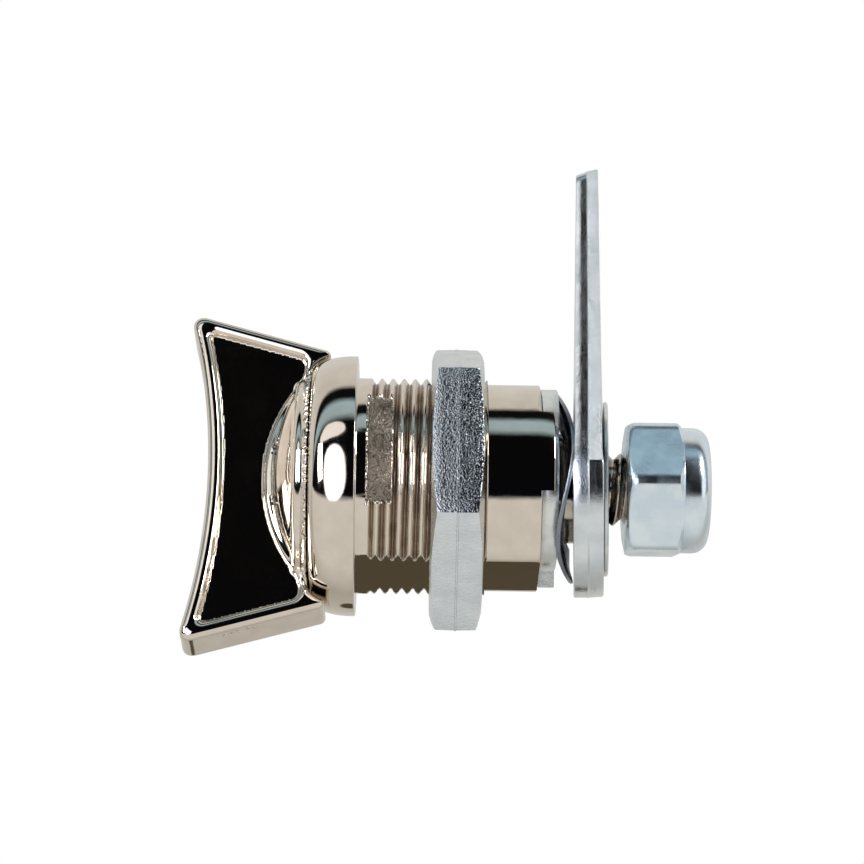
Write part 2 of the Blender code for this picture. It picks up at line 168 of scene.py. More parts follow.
def hang(light, mask, tone):
    """Lays a plain tone over the room where the mask is."""
    mix = room.nodes.new("ShaderNodeMix")
    mix.data_type = "RGBA"
    mix.inputs[7].default_value = (*tone, 1)
    wire(room, (mask, mix.inputs["Factor"]), (light, mix.inputs[6]))
    return mix.outputs[2]


# Painted shade: a dark strip low behind, where the mounting nut and the flange shade the thread's flats, darkens
# their reflections. Then pale panels: two to the left of the viewer and one to the right
surround = hang(surround, window((-0.11, 0.11), (0.117, 0.153), 0.48), (0.085, 0.070, 0.045))
surround = hang(surround, window((-0.66, -0.10), (0.462, 0.612)), (1.55, 1.58, 1.75))
surround = hang(surround, window((-0.76, -0.12), (0.628, 0.672)), (1.05, 1.03, 1.02))
surround = hang(surround, window((0.60, 0.97), (0.455, 0.67)), (0.95, 0.97, 1.0))
glow = room.nodes.new("ShaderNodeBackground")
wire(room, (surround, glow.inputs["Color"]))
plain = room.nodes.new("ShaderNodeBackground")
plain.inputs["Color"].default_value = (1, 1, 1, 1)
choose = room.nodes.new("ShaderNodeMixShader")
path = room.nodes.new("ShaderNodeLightPath")
leave = room.nodes.new("ShaderNodeOutputWorld")
wire(
    room,
    (path.outputs["Is Camera Ray"], choose.inputs["Fac"]),
    (glow.outputs[0], choose.inputs[1]),
    (plain.outputs[0], choose.inputs[2]),
    (choose.outputs[0], leave.inputs["Surface"]),
)


def soft_box(name, across, up, forward, width, tall, power):
    """A soft box at a place given across, up and towards the viewer, aimed at the latch."""
    data = bpy.data.lights.new(name, "AREA")
    data.shape = "RECTANGLE"
    data.size = width * MM
    data.size_y = tall * MM
    data.energy = power
    lamp = bpy.data.objects.new(name, data)
    bpy.context.scene.collection.objects.link(lamp)
    place = aim + across * view_right + up * view_up + forward * towards_camera
    facing_latch = (place - aim).to_track_quat("Z", "Y").to_matrix().to_4x4()
    lamp.matrix_world = Matrix.Translation(place * MM) @ facing_latch
    lamp.visible_camera = False


soft_box("left_box", -420, 160, 300, 120, 260, 1.2)
soft_box("right_box", 330, 330, 240, 90, 200, 0.6)

floor_shape = bmesh.new()
bmesh.ops.create_grid(floor_shape, x_segments=FLOOR_CELLS, y_segments=FLOOR_CELLS, size=FLOOR_SIZE / 2 * MM)
floor_mesh = bpy.data.meshes.new("floor")
floor_shape.to_mesh(floor_mesh)
floor_shape.free()
floor = bpy.data.objects.new("floor", floor_mesh)
floor.location.z = -FLOOR_DROP * MM
floor.visible_glossy = False
bpy.context.scene.collection.objects.link(floor)
pale = bpy.data.materials.new("pale_floor")
pale.use_nodes = True
pale.node_tree.nodes["Principled BSDF"].inputs["Base Color"].default_value = (0.92, 0.92, 0.92, 1)
pale.node_tree.nodes["Principled BSDF"].inputs["Roughness"].default_value = 0.9
floor_mesh.materials.append(pale)


# Housing: one zinc casting with a domed flange, a thread with two flats and a barrel that ends in
# two stop lugs. It is polished and nickel plated, so it mirrors the room with a warm tint. The
# sprue was broken off the thread, which leaves a rough patch on the viewer's side.

FLANGE_RADIUS = 11.4
FLANGE_FACE_RADIUS = 9.4
FLANGE_RIM = 1.3
DOME_POWER = 2.4  # a little squarer than an ellipse
FLANGE_BACK_ROUND = 0.12
NECK_END = 1.0
THREAD_RADIUS = 9.5
THREAD_PITCH = 0.97
THREAD_DEPTH = 0.54
THREAD_END = 11.3
THREAD_STEP = 0.045  # between rings of points along the thread
CREST_POWER = 1.15
THREAD_FADE_IN = 0.5
THREAD_FADE_OUT = 0.35
BARREL_RADIUS = 9.05
BARREL_END = 15.90
BARREL_EDGE = 0.12
EDGE_MIDDLE = 0.035
LUG_ROOT = 0.5
FLAT_HALF_WIDTH = 8.3
BORE_RADIUS = 5.05
POCKET_RADIUS = 7.5
LUG_HALF_DEG = 24.0
PATCH_FROM = 0.95
PATCH_TO = 3.05
PATCH_HALF_DEG = 33.0
PATCH_RADIUS = 9.32
PATCH_EASE_FRONT = 0.12
PATCH_EASE_BACK = 0.15
PATCH_EASE_DEG = 2.5
ROOT_FLOOR = 8.5


def smooth_step(value, low, high):
    """A share that eases from 0 at low to 1 at high."""
    share = np.clip((value - low) / (high - low), 0, 1)
    return share * share * (3 - 2 * share)


def skin(name, rings, sharp_deg=32.0, closed=True):
    """A closed skin over rings of points that run round the axis. The last ring meets the first."""
    rings = np.asarray(rings, float) * MM
    count, around = rings.shape[:2]
    shape = bmesh.new()
    verts = [shape.verts.new(point) for point in rings.reshape(-1, 3)]
    for i in range(count if closed else count - 1):
        for j in range(around):
            here, beside = i * around, (i + 1) % count * around
            k = (j + 1) % around
            shape.faces.new((verts[here + j], verts[here + k], verts[beside + k], verts[beside + j]))
    bmesh.ops.remove_doubles(shape, verts=shape.verts, dist=0.00000005)
    bmesh.ops.dissolve_degenerate(shape, edges=shape.edges, dist=0.00000005)
    bmesh.ops.recalc_face_normals(shape, faces=shape.faces)
    if shape.calc_volume(signed=True) < 0:
        bmesh.ops.reverse_faces(shape, faces=shape.faces)
    mesh = bpy.data.meshes.new(name)
    shape.to_mesh(mesh)
    shape.free()
    mesh.shade_smooth()
    mesh.set_sharp_from_angle(angle=radians(sharp_deg))
    piece = bpy.data.objects.new(name, mesh)
    bpy.context.scene.collection.objects.link(piece)
    return piece


def ring(along, radius, turns):
    """Points about the axis. Angles run from -Y towards +Z."""
    turns = np.asarray(turns, float)
    along = np.broadcast_to(along, turns.shape)
    radius = np.broadcast_to(radius, turns.shape)
    return np.stack([along, -radius * np.cos(turns), radius * np.sin(turns)], axis=-1)


def grain(points, size, seed=0.0):
    """Smooth noise from -1 to 1 at points in millimetres: a few crossed waves of mixed directions."""
    rng = np.random.default_rng(int(seed * 10) + 7)
    total = np.zeros(points.shape[:-1])
    waves = 14
    for _ in range(waves):
        way = rng.normal(size=3)
        way /= np.linalg.norm(way)
        rate = 2 * pi / (size * rng.uniform(0.6, 1.6))
        total += np.sin(points @ way * rate + rng.uniform(0, 2 * pi))
    return total / sqrt(waves)


def housing_angles():
    """Angles round the housing, with a line of points on each flat's edges and on each lug's sides."""
    half = acos(FLAT_HALF_WIDTH / THREAD_RADIUS)
    lug = radians(LUG_HALF_DEG)
    stops = []
    for side in (0, pi):
        stops += [side - lug, side - lug + 0.0002, side + lug - 0.0002, side + lug]
        stops += [side + pi / 2 - half, side + pi / 2 + half]
    counts = [1, 60, 1, 50, 44, 50] * 2
    stops.append(stops[0] + 2 * pi)
    turns = []
    for first, second, steps in zip(stops, stops[1:], counts):
        turns += [first + (second - first) * i / steps for i in range(steps)]
    return np.array(turns)


def housing_ring(along, radius, flats=True, lug=0.0):
    """One ring of the housing: the flats cut it, and its lugs stand out along the axis."""
    turns = housing_angles()
    tooth = radius if np.isscalar(radius) else radius(along, turns)
    tooth = np.broadcast_to(tooth, turns.shape).copy()
    if flats:
        limit = FLAT_HALF_WIDTH / np.maximum(np.abs(np.sin(turns)), 1e-6)
        tooth = np.minimum(tooth, limit)
    reach = np.full(turns.shape, along, float)
    if lug:
        off = np.abs((turns + pi / 2) % pi - pi / 2)
        reach += np.where(off < radians(LUG_HALF_DEG) - 0.0001, lug, 0.0)
    return ring(reach, tooth, turns)


def thread_radius(along, turns):
    """The thread's rounded crests. They fade into the neck, and are missing at the sprue's patch."""
    phase = (along / THREAD_PITCH - turns / (2 * pi)) % 1.0
    tooth = THREAD_DEPTH * (0.5 - 0.5 * np.cos(2 * pi * phase)) ** CREST_POWER
    fade = smooth_step(along, NECK_END, NECK_END + THREAD_FADE_IN)
    fade = fade * (1 - smooth_step(along, THREAD_END - THREAD_FADE_OUT, THREAD_END))
    radius = THREAD_RADIUS - tooth * fade
    off = np.degrees(np.abs((turns + pi) % (2 * pi) - pi))
    ragged = 1.5 * np.sin(turns * 90 + along * 5) + 1.0 * np.sin(turns * 41)
    inside = 1 - smooth_step(off + ragged, PATCH_HALF_DEG - PATCH_EASE_DEG, PATCH_HALF_DEG)
    within = smooth_step(along, PATCH_FROM - PATCH_EASE_FRONT, PATCH_FROM)
    inside *= within * (1 - smooth_step(along, PATCH_TO, PATCH_TO + PATCH_EASE_BACK))
    spot = ring(along, THREAD_RADIUS, turns)
    rough = PATCH_RADIUS + 0.035 * grain(spot, 0.30, 1) + 0.045 * grain(spot, 0.13, 2)
    return radius * (1 - inside) + rough * inside


flange_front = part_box("housing")[0].x / MM
lug_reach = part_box("housing")[1].x / MM
dome_deep = -flange_front - FLANGE_RIM
dome_wide = FLANGE_RADIUS - FLANGE_FACE_RADIUS
lug_length = lug_reach - BARREL_END
rings = []
rings.append(housing_ring(BARREL_END, POCKET_RADIUS, False, lug_length))
rings.append(housing_ring(BARREL_END, BARREL_RADIUS - BARREL_EDGE, True, lug_length))
rings.append(housing_ring(BARREL_END - EDGE_MIDDLE, BARREL_RADIUS - EDGE_MIDDLE, True, lug_length))
rings.append(housing_ring(BARREL_END - BARREL_EDGE, BARREL_RADIUS, True, lug_length))
rings.append(housing_ring(BARREL_END - LUG_ROOT, BARREL_RADIUS))
for along in np.linspace(BARREL_END - 0.7, THREAD_END + 0.02, 24):
    rings.append(housing_ring(float(along), BARREL_RADIUS))
for along in np.arange(THREAD_END, NECK_END - 0.15, -THREAD_STEP):
    rings.append(housing_ring(float(along), thread_radius))
rings.append(housing_ring(NECK_END - 0.3, THREAD_RADIUS))
rings.append(housing_ring(0.12, THREAD_RADIUS))
rings.append(housing_ring(0.03, THREAD_RADIUS + 0.04))
rings.append(housing_ring(0.0, THREAD_RADIUS + 0.14, False))
rings.append(housing_ring(0.0, FLANGE_RADIUS - FLANGE_BACK_ROUND, False))
for i in range(1, 5):
    turn_back = pi / 2 * i / 4
    rings.append(
        housing_ring(
            -FLANGE_BACK_ROUND * (1 - cos(turn_back)),
            FLANGE_RADIUS - FLANGE_BACK_ROUND * (1 - sin(turn_back)),
            False,
        )
    )
for turn_front in np.linspace(0.12, pi / 2, 32):
    along = flange_front * sin(turn_front) ** (2 / DOME_POWER)
    outward = FLANGE_FACE_RADIUS + dome_wide * max(0.0, cos(turn_front)) ** (2 / DOME_POWER)
    rings.append(housing_ring(along, outward, False))
rings.append(housing_ring(flange_front, 7.0, False))
rings.append(housing_ring(flange_front, BORE_RADIUS, False))
rings.append(housing_ring(BARREL_END, BORE_RADIUS, False))
rings.append(housing_ring(BARREL_END, POCKET_RADIUS, False))
housing = skin("housing_casting", rings, 28)


def shader_group(name, inputs, outputs):
    """An empty node group with named sockets: (name, kind, value) in, (name, kind) out."""
    group = bpy.data.node_groups.new(name, "ShaderNodeTree")
    for label, kind, value in inputs:
        socket = group.interface.new_socket(label, in_out="INPUT", socket_type=kind)
        socket.default_value = value
    for label, kind in outputs:
        group.interface.new_socket(label, in_out="OUTPUT", socket_type=kind)
    return group, group.nodes.new("NodeGroupInput"), group.nodes.new("NodeGroupOutput")


def plating_group():
    """Plated metal: cloudy tint, uneven polish, and the faint waviness of a polished casting."""
    group, given, out = shader_group(
        "plating",
        [
            ("Tint", "NodeSocketColor", (0.7, 0.7, 0.7, 1)),
            ("Cloud Tint", "NodeSocketColor", (0.6, 0.6, 0.6, 1)),
            ("Cloud Size", "NodeSocketFloat", 2.0),
            ("Polish", "NodeSocketFloat", 0.1),
            ("Polish Spread", "NodeSocketFloat", 0.1),
            ("Wave Size", "NodeSocketFloat", 1.0),
            ("Grain Size", "NodeSocketFloat", 0.1),
            ("Grain Share", "NodeSocketFloat", 0.2),
        ],
        [("Color", "NodeSocketColor"), ("Roughness", "NodeSocketFloat"), ("Height", "NodeSocketFloat")],
    )
    place = group.nodes.new("ShaderNodeTexCoord").outputs["Object"]

    def noise(size_socket, detail):
        node = group.nodes.new("ShaderNodeTexNoise")
        node.inputs["Detail"].default_value = detail
        scale = calculate(group, "DIVIDE", 1000.0, size_socket)
        wire(group, (place, node.inputs["Vector"]), (scale, node.inputs["Scale"]))
        return node.outputs["Fac"]

    clouds = shade_ramp(group, noise(given.outputs["Cloud Size"], 4), [(0.35, 0.0), (0.65, 1.0)])
    blend = group.nodes.new("ShaderNodeMix")
    blend.data_type = "RGBA"
    wire(
        group,
        (clouds, blend.inputs["Factor"]),
        (given.outputs["Tint"], blend.inputs[6]),
        (given.outputs["Cloud Tint"], blend.inputs[7]),
        (blend.outputs[2], out.inputs["Color"]),
    )
    fine = noise(given.outputs["Grain Size"], 3)
    uneven = calculate(group, "MULTIPLY", clouds, given.outputs["Polish Spread"])
    wire(group, (calculate(group, "ADD", given.outputs["Polish"], uneven), out.inputs["Roughness"]))
    waves = noise(given.outputs["Wave Size"], 2)
    grains = calculate(group, "MULTIPLY", fine, given.outputs["Grain Share"])
    wire(group, (calculate(group, "ADD", waves, grains), out.inputs["Height"]))
    return group


PLATING = plating_group()


def plated(name, tint, cloud_tint, polish, spread, wave, grain_size, share, relief, cloud=2.0):
    """A plated metal finish: its own shader, with the plating's colour, polish and relief."""
    finish = bpy.data.materials.new(name)
    finish.use_nodes = True
    tree = finish.node_tree
    surface = tree.nodes["Principled BSDF"]
    surface.inputs["Metallic"].default_value = 1.0
    coat = tree.nodes.new("ShaderNodeGroup")
    coat.node_tree = PLATING
    coat.inputs["Tint"].default_value = (*tint, 1)
    coat.inputs["Cloud Tint"].default_value = (*cloud_tint, 1)
    coat.inputs["Cloud Size"].default_value = cloud
    coat.inputs["Polish"].default_value = polish
    coat.inputs["Polish Spread"].default_value = spread
    coat.inputs["Wave Size"].default_value = wave
    coat.inputs["Grain Size"].default_value = grain_size
    coat.inputs["Grain Share"].default_value = share
    bump = tree.nodes.new("ShaderNodeBump")
    bump.inputs["Strength"].default_value = 1.0
    bump.inputs["Distance"].default_value = relief * MM
    wire(
        tree,
        (coat.outputs["Color"], surface.inputs["Base Color"]),
        (coat.outputs["Roughness"], surface.inputs["Roughness"]),
        (coat.outputs["Height"], bump.inputs["Height"]),
        (bump.outputs["Normal"], surface.inputs["Normal"]),
    )
    return finish


NICKEL_TINT = (0.80, 0.73, 0.65)
NICKEL_CLOUD = (0.74, 0.67, 0.58)
nickel = plated(
    "polished_nickel",
    NICKEL_TINT,
    NICKEL_CLOUD,
    polish=0.045,
    spread=0.03,
    wave=1.6,
    grain_size=0.18,
    share=0.10,
    relief=0.008,
)
# The thread's roots get a darker, rougher nickel: its dark tint is painted shade that falls down in the roots.
root_painted_shade_nickel = plated(
    "thread_root_painted_shade_nickel",
    (0.40, 0.33, 0.27),
    (0.28, 0.22, 0.17),
    polish=0.20,
    spread=0.12,
    wave=0.8,
    grain_size=0.12,
    share=0.4,
    relief=0.012,
)
broken_zinc = plated(
    "broken_sprue_zinc",
    (0.34, 0.29, 0.24),
    (0.18, 0.15, 0.12),
    polish=0.20,
    spread=0.12,
    wave=0.3,
    grain_size=0.10,
    share=1.2,
    relief=0.05,
)
for finish in (nickel, root_painted_shade_nickel, broken_zinc):
    housing.data.materials.append(finish)
for side in housing.data.polygons:
    spot = side.center / MM
    out = sqrt(spot.y**2 + spot.z**2)
    turned_deg = abs(atan2(spot.z, -spot.y)) * 180 / pi
    on_thread = NECK_END < spot.x < THREAD_END and abs(spot.z) < FLAT_HALF_WIDTH - 0.05
    on_patch = PATCH_FROM + 0.1 < spot.x < PATCH_TO and turned_deg < PATCH_HALF_DEG - 2
    if on_patch and out < PATCH_RADIUS + 0.3:
        side.material_index = 2
    # Faces down in the thread's roots take the painted root shade.
    elif on_thread and ROOT_FLOOR < out < THREAD_RADIUS - THREAD_DEPTH * 0.62:
        side.material_index = 1
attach(housing, "housing")
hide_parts("housing")


# Wing knob: a zinc casting with two wings, a raised bead round a sunk panel on each side, and a
# domed hub on a collar. It is cast round the spindle's head and nickel plated with the housing.

KNOB_HALF = 2.5
KNOB_REACH = 15.2
KNOB_SPAN = 31.4
KNOB_HOLLOW = 2.2
TIP_RADIUS = 1.5
HEEL_BACK = 2.5
HEEL_OUT = 12.1
HEEL_RADIUS = 0.4
FLANGE_CLEARANCE = 0.32
EDGE_ROUND = 0.67
BEAD_WIDTH = 1.35
BEAD_ROUND = 0.67
PANEL_DEPTH = 0.68
PANEL_CORNER = 0.7
PANEL_BACK = 4.7
HUB_ARC_RADIUS = 15.0  # the bead beside the hub, as an arc that passes in front of the dome
HUB_ARC_FRONT = 8.2
COLLAR_OUT = 9.2
COLLAR_WIDTH = 1.3
COLLAR_EASE = 0.6
DOME_RADIUS = 8.1
DOME_HEIGHT = 2.1
HUB_BACK = -4.05
SOCKET_RADIUS = 3.0
SOCKET_FLOOR = -5.9
KNOB_VOXEL = 0.18
MARK_FROM, MARK_TO = -11.6, -8.0  # along the axis, on the lower wing's end
MARK_SIDE = -1.3
MARK_DEPTH = 0.13
MARK_WAVES = ((0.22, 5.1), (0.12, 11.3))  # height and rate of the crack's wander
DOME_BLEND = 0.3
BLADE_BLEND = 0.45


def soft_min(first, second, blend):
    """Two shapes as one, with the corner between them filled over the blend."""
    overlap = np.maximum(blend - np.abs(first - second), 0)
    return np.minimum(first, second) - overlap**2 / (4 * blend)


def round_max(first, second, radius):
    """Where two shapes both are, with the edge between their skins rounded."""
    corner = np.hypot(np.maximum(first + radius, 0), np.maximum(second + radius, 0))
    return np.minimum(np.maximum(first, second), -radius) + corner


def wing_sides(x, up):
    """Distances from the hollow front edge, and from the sloping end of the wing."""
    half = KNOB_SPAN / 2
    radius = (half**2 + KNOB_HOLLOW**2) / (2 * KNOB_HOLLOW)
    centre = -KNOB_REACH - (radius - KNOB_HOLLOW)
    run = Vector((KNOB_REACH - HEEL_BACK, HEEL_OUT - half)).normalized()
    end = -run.y * (x + KNOB_REACH) + run.x * (up - half)
    return radius - np.hypot(x - centre, up), end


def flange_distance(x, up):
    """Distance outside the flange's domed front, grown by the clearance."""
    tall = dome_deep + FLANGE_CLEARANCE
    broad = dome_wide + FLANGE_CLEARANCE
    bulge = np.hypot((x + FLANGE_RIM) / tall, np.maximum(up - FLANGE_FACE_RADIUS, 0) / broad)
    beside = up - FLANGE_FACE_RADIUS - broad
    return np.where(x < -FLANGE_RIM, (bulge - 1) * min(tall, broad), beside)


def knob_distance(points):
    """Signed distance to the knob: blade with rounded edges, less its panels, with the hub."""
    x, y, z = points.T
    up = np.abs(z)
    front, end = wing_sides(x, up)
    flat = round_max(round_max(front, end, TIP_RADIUS), x + HEEL_BACK, HEEL_RADIUS)
    flat = round_max(flat, -flange_distance(x, up), HEEL_RADIUS / 2)
    blade = round_max(flat, np.abs(y) - KNOB_HALF, EDGE_ROUND)
    arc_centre = HUB_ARC_RADIUS - HUB_ARC_FRONT
    panel = round_max(front + BEAD_WIDTH, end + BEAD_WIDTH, PANEL_CORNER)
    panel = round_max(panel, HUB_ARC_RADIUS - np.hypot(x - arc_centre, z), PANEL_CORNER)
    panel = round_max(panel, x + PANEL_BACK, PANEL_CORNER)
    blade = round_max(blade, np.minimum(-panel, np.abs(y) - KNOB_HALF + PANEL_DEPTH), BEAD_ROUND)
    out = np.hypot(y, z)
    top = HUB_BACK - COLLAR_WIDTH
    radius = (DOME_RADIUS**2 + DOME_HEIGHT**2) / (2 * DOME_HEIGHT)
    dome = np.hypot(x - (top - DOME_HEIGHT + radius), out) - radius
    dome = np.maximum(dome, x - HUB_BACK)
    collar = round_max(out - COLLAR_OUT, np.abs(x - (HUB_BACK + top) / 2) - COLLAR_WIDTH / 2, COLLAR_EASE)
    # A cold shut in the casting leaves a short ragged crack on the lower wing's end
    crack = sum((tall * np.sin(rate * x) for tall, rate in MARK_WAVES), MARK_SIDE)
    crack = np.hypot(end, y - crack) - MARK_DEPTH
    crack = np.maximum(crack, np.abs(x - (MARK_FROM + MARK_TO) / 2) - (MARK_TO - MARK_FROM) / 2)
    blade = np.maximum(blade, np.where(z < 0, -crack, -1.0))
    knob = soft_min(blade, soft_min(dome, collar, DOME_BLEND), BLADE_BLEND)
    return np.maximum(knob, np.minimum(SOCKET_RADIUS - out, x - SOCKET_FLOOR))


def skin_slopes(points, distance, step=0.02):
    """Which way the distance grows at each point, and how fast."""
    sides = [distance(points + step * unit) - distance(points - step * unit) for unit in np.eye(3)]
    return np.stack(sides, axis=1) / (2 * step)


def settle(points, distance, passes=4):
    """Moves points onto the surface where the distance is zero."""
    for _ in range(passes):
        here = distance(points)
        slopes = skin_slopes(points, distance)
        size = np.maximum((slopes**2).sum(1), 0.2)
        points = points - slopes * (here / size)[:, None]
    return points


def apply_modifiers(piece):
    """Gives a piece its modifiers' result as its own mesh."""
    graph = bpy.context.evaluated_depsgraph_get()
    mesh = bpy.data.meshes.new_from_object(piece.evaluated_get(graph))
    old = piece.data
    piece.modifiers.clear()
    piece.data = mesh
    bpy.data.meshes.remove(old)


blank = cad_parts["wing_knob"].data.copy()
blank.materials.clear()
knob = bpy.data.objects.new("wing_knob_casting", blank)
bpy.context.scene.collection.objects.link(knob)
even = knob.modifiers.new("even", "REMESH")
even.mode = "VOXEL"
even.voxel_size = KNOB_VOXEL * MM
apply_modifiers(knob)
for stage in ("ease", "ease", "halve", "last"):
    spots = np.empty(len(knob.data.vertices) * 3)
    knob.data.vertices.foreach_get("co", spots)
    spots = settle(spots.reshape(-1, 3) / MM, knob_distance)
    knob.data.vertices.foreach_set("co", (spots * MM).ravel())
    if stage == "ease":
        ease = knob.modifiers.new("ease", "SMOOTH")
        ease.factor = 0.5
        ease.iterations = 2
        apply_modifiers(knob)
    elif stage == "halve":
        halves = knob.modifiers.new("halves", "SUBSURF")
        halves.subdivision_type = "SIMPLE"
        halves.levels = halves.render_levels = 1
        apply_modifiers(knob)
knob.data.update()
knob.data.shade_smooth()
normals = skin_slopes(spots, knob_distance)
normals /= np.maximum(np.linalg.norm(normals, axis=1, keepdims=True), 1e-6)
knob.data.normals_split_custom_set_from_vertices(normals)
knob.data.materials.append(nickel)
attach(knob, "turning_parts")
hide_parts("wing_knob")


# Drive spindle: a turned steel journal with a milled square for the washers and the cam, and a
# rolled coarse-thread stud at its end. It is nickel plated before the knob is cast round its head.

HEAD_RADIUS = 2.95
HEAD_END = -4.0
JOURNAL_RADIUS = 4.95
SQUARE_HALF = 4.0
SQUARE_FROM = 15.85
SQUARE_END = 21.0
STUD_RADIUS = 3.17
STUD_PITCH = 1.27
STUD_DEPTH = 0.62
STUD_CHAMFER = 0.6
STUD_STEP = 0.06  # between rings of points along the stud
SPINDLE_AROUND = 96
AXIS_POINT = 0.02  # the tiny ring that closes an end

spindle_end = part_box("drive_spindle")[1].x / MM
spindle_turns = np.linspace(0, 2 * pi, SPINDLE_AROUND, endpoint=False) + pi / 4
square_reach = np.maximum(np.abs(np.cos(spindle_turns)), np.abs(np.sin(spindle_turns)))
square_radius = np.minimum(JOURNAL_RADIUS, SQUARE_HALF / square_reach)


def stud_radius(along):
    """The stud's thread, with flat crests and roots and a chamfered end."""
    phase = (along / STUD_PITCH - spindle_turns / (2 * pi)) % 1.0
    tooth = STUD_DEPTH * (1 - np.abs(2 * phase - 1))
    tooth = np.clip(tooth, 0.06, STUD_DEPTH * 0.9)
    chamfer = max(0.0, along - (spindle_end - STUD_CHAMFER))
    return np.minimum(STUD_RADIUS + 0.06 - tooth, STUD_RADIUS - chamfer)


rings = [
    ring(spindle_end, AXIS_POINT, spindle_turns),
    ring(spindle_end, STUD_RADIUS - STUD_CHAMFER - 0.15, spindle_turns),
]
for along in np.arange(spindle_end, SQUARE_END + 0.05, -STUD_STEP):
    rings.append(ring(along, stud_radius(along), spindle_turns))
rings += [
    ring(SQUARE_END, STUD_RADIUS - 0.3, spindle_turns),
    ring(SQUARE_END, square_radius - 0.15, spindle_turns),
]
rings += [
    ring(SQUARE_END - 0.15, square_radius, spindle_turns),
    ring(SQUARE_FROM, square_radius, spindle_turns),
]
rings += [
    ring(SQUARE_FROM, JOURNAL_RADIUS, spindle_turns),
    ring(HEAD_END, JOURNAL_RADIUS, spindle_turns),
]
rings += [
    ring(HEAD_END, HEAD_RADIUS, spindle_turns),
    ring(SOCKET_FLOOR + 0.05, HEAD_RADIUS, spindle_turns),
]
rings += [ring(SOCKET_FLOOR + 0.05, AXIS_POINT, spindle_turns)]
spindle = skin("spindle_with_stud", rings)
spindle_nickel = plated(
    "turned_nickel",
    (0.62, 0.55, 0.48),
    (0.50, 0.44, 0.38),
    polish=0.12,
    spread=0.10,
    wave=0.8,
    grain_size=0.10,
    share=0.3,
    relief=0.012,
)
spindle.data.materials.append(spindle_nickel)
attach(spindle, "turning_parts")
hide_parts("drive_spindle")


# Mounting nut: a hexagon nut cast in zinc in two halves, so a thin line runs round its middle and
# its faces slope a little to each side of it. Its speckled skin is bright zinc plated.

NUT_APOTHEM = 11.5
NUT_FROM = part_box("mounting_nut")[0].x / MM
NUT_HEIGHT = 4.5
NUT_TURN_DEG = -2.2
NUT_FACE_RADIUS = 11.15
NUT_CHAMFER_SLOPE = 0.27
NUT_BORE = 9.56
NUT_DRAFT = 0.04
NUT_LINE = 0.06
NUT_CORNER = 0.10
NUT_BORE_CHAMFER = 0.35
HEX_STEPS = 16


def hex_angles(turn_deg, steps=HEX_STEPS):
    """Angles round a hexagon, with a point on each corner."""
    return radians(turn_deg + 30) + 2 * pi * np.arange(6 * steps) / (6 * steps)


def hex_radius(apothem, turns, turn_deg, corner_round=0.0):
    """Distance from the axis to a hexagon's side, with its corners eased by a small radius."""
    off = (turns - radians(turn_deg) + pi / 6) % (pi / 3) - pi / 6
    radius = apothem / np.cos(off)
    return np.minimum(radius, apothem / cos(pi / 6) - corner_round)


turns = hex_angles(NUT_TURN_DEG)
nut_side = hex_radius(NUT_APOTHEM, turns, NUT_TURN_DEG, NUT_CORNER)
cut = (nut_side - NUT_FACE_RADIUS) * NUT_CHAMFER_SLOPE
cut = np.maximum(cut, 0.10)
face_rim = np.minimum(nut_side - 0.12, NUT_FACE_RADIUS)
middle = NUT_FROM + NUT_HEIGHT / 2
rings = []
for sign in (-1, 1):
    edge = middle + sign * NUT_HEIGHT / 2
    face_rings = [
        ring(edge, NUT_BORE + NUT_BORE_CHAMFER, turns),
        ring(edge, face_rim, turns),
        ring(edge - sign * cut * 0.93, nut_side - NUT_DRAFT - 0.012, turns),
        ring(edge - sign * (cut + 0.05), nut_side - NUT_DRAFT + 0.004, turns),
    ]
    body = NUT_HEIGHT / 2 - 0.55
    for share in (0.75, 0.5, 0.25):
        face_rings.append(ring(middle + sign * body * share, nut_side - NUT_DRAFT * share, turns))
    face_rings += [
        ring(middle + sign * 0.10, nut_side, turns),
        ring(middle + sign * 0.05, nut_side + NUT_LINE, turns),
    ]
    rings += face_rings if sign < 0 else face_rings[::-1]
rings += [
    ring(NUT_FROM + NUT_HEIGHT - NUT_BORE_CHAMFER, NUT_BORE, turns),
    ring(NUT_FROM + NUT_BORE_CHAMFER, NUT_BORE, turns),
]
mounting_nut = skin("zinc_panel_nut", rings, 20)

ZINC_TINT = (0.80, 0.85, 0.88)
ZINC_CLOUD = (0.70, 0.76, 0.81)
speckled_zinc = plated(
    "speckled_zinc",
    ZINC_TINT,
    ZINC_CLOUD,
    polish=0.09,
    spread=0.05,
    wave=0.30,
    grain_size=0.15,
    share=1.2,
    relief=0.030,
)
mounting_nut.data.materials.append(speckled_zinc)
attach(mounting_nut, "panel_nut")
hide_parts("mounting_nut")


# Stop washer: a punched steel washer with a square hole and two tabs that meet the housing's lugs.
# It is zinc plated, and it sits against the barrel's end.

STOP_RADIUS = 7.2
TAB_RADIUS = 8.7
TAB_REST_DEG = 45.0
TAB_HALF_DEG = 19.0
STOP_FROM = 15.98
STOP_TO = 17.43
HOLE_HALF = 4.1
PLATE_ROUND = 0.10


def square_ring(along, half, turns):
    """One ring of a square hole or shaft."""
    radius = half / np.maximum(np.abs(np.cos(turns)), np.abs(np.sin(turns)))
    return ring(along, radius, turns)


def stop_turns():
    """Angles round the washer, with a pair of close points at each side of each tab."""
    stops = []
    for side in (0, 180):
        middle = TAB_REST_DEG + side
        stops += [middle - TAB_HALF_DEG - 0.6, middle - TAB_HALF_DEG]
        stops += [middle + TAB_HALF_DEG, middle + TAB_HALF_DEG + 0.6]
    stops.append(stops[0] + 360)
    turns = []
    for first, second, steps in zip(stops, stops[1:], [1, 24, 1, 60] * 2):
        turns += [first + (second - first) * i / steps for i in range(steps)]
    return np.radians(turns)


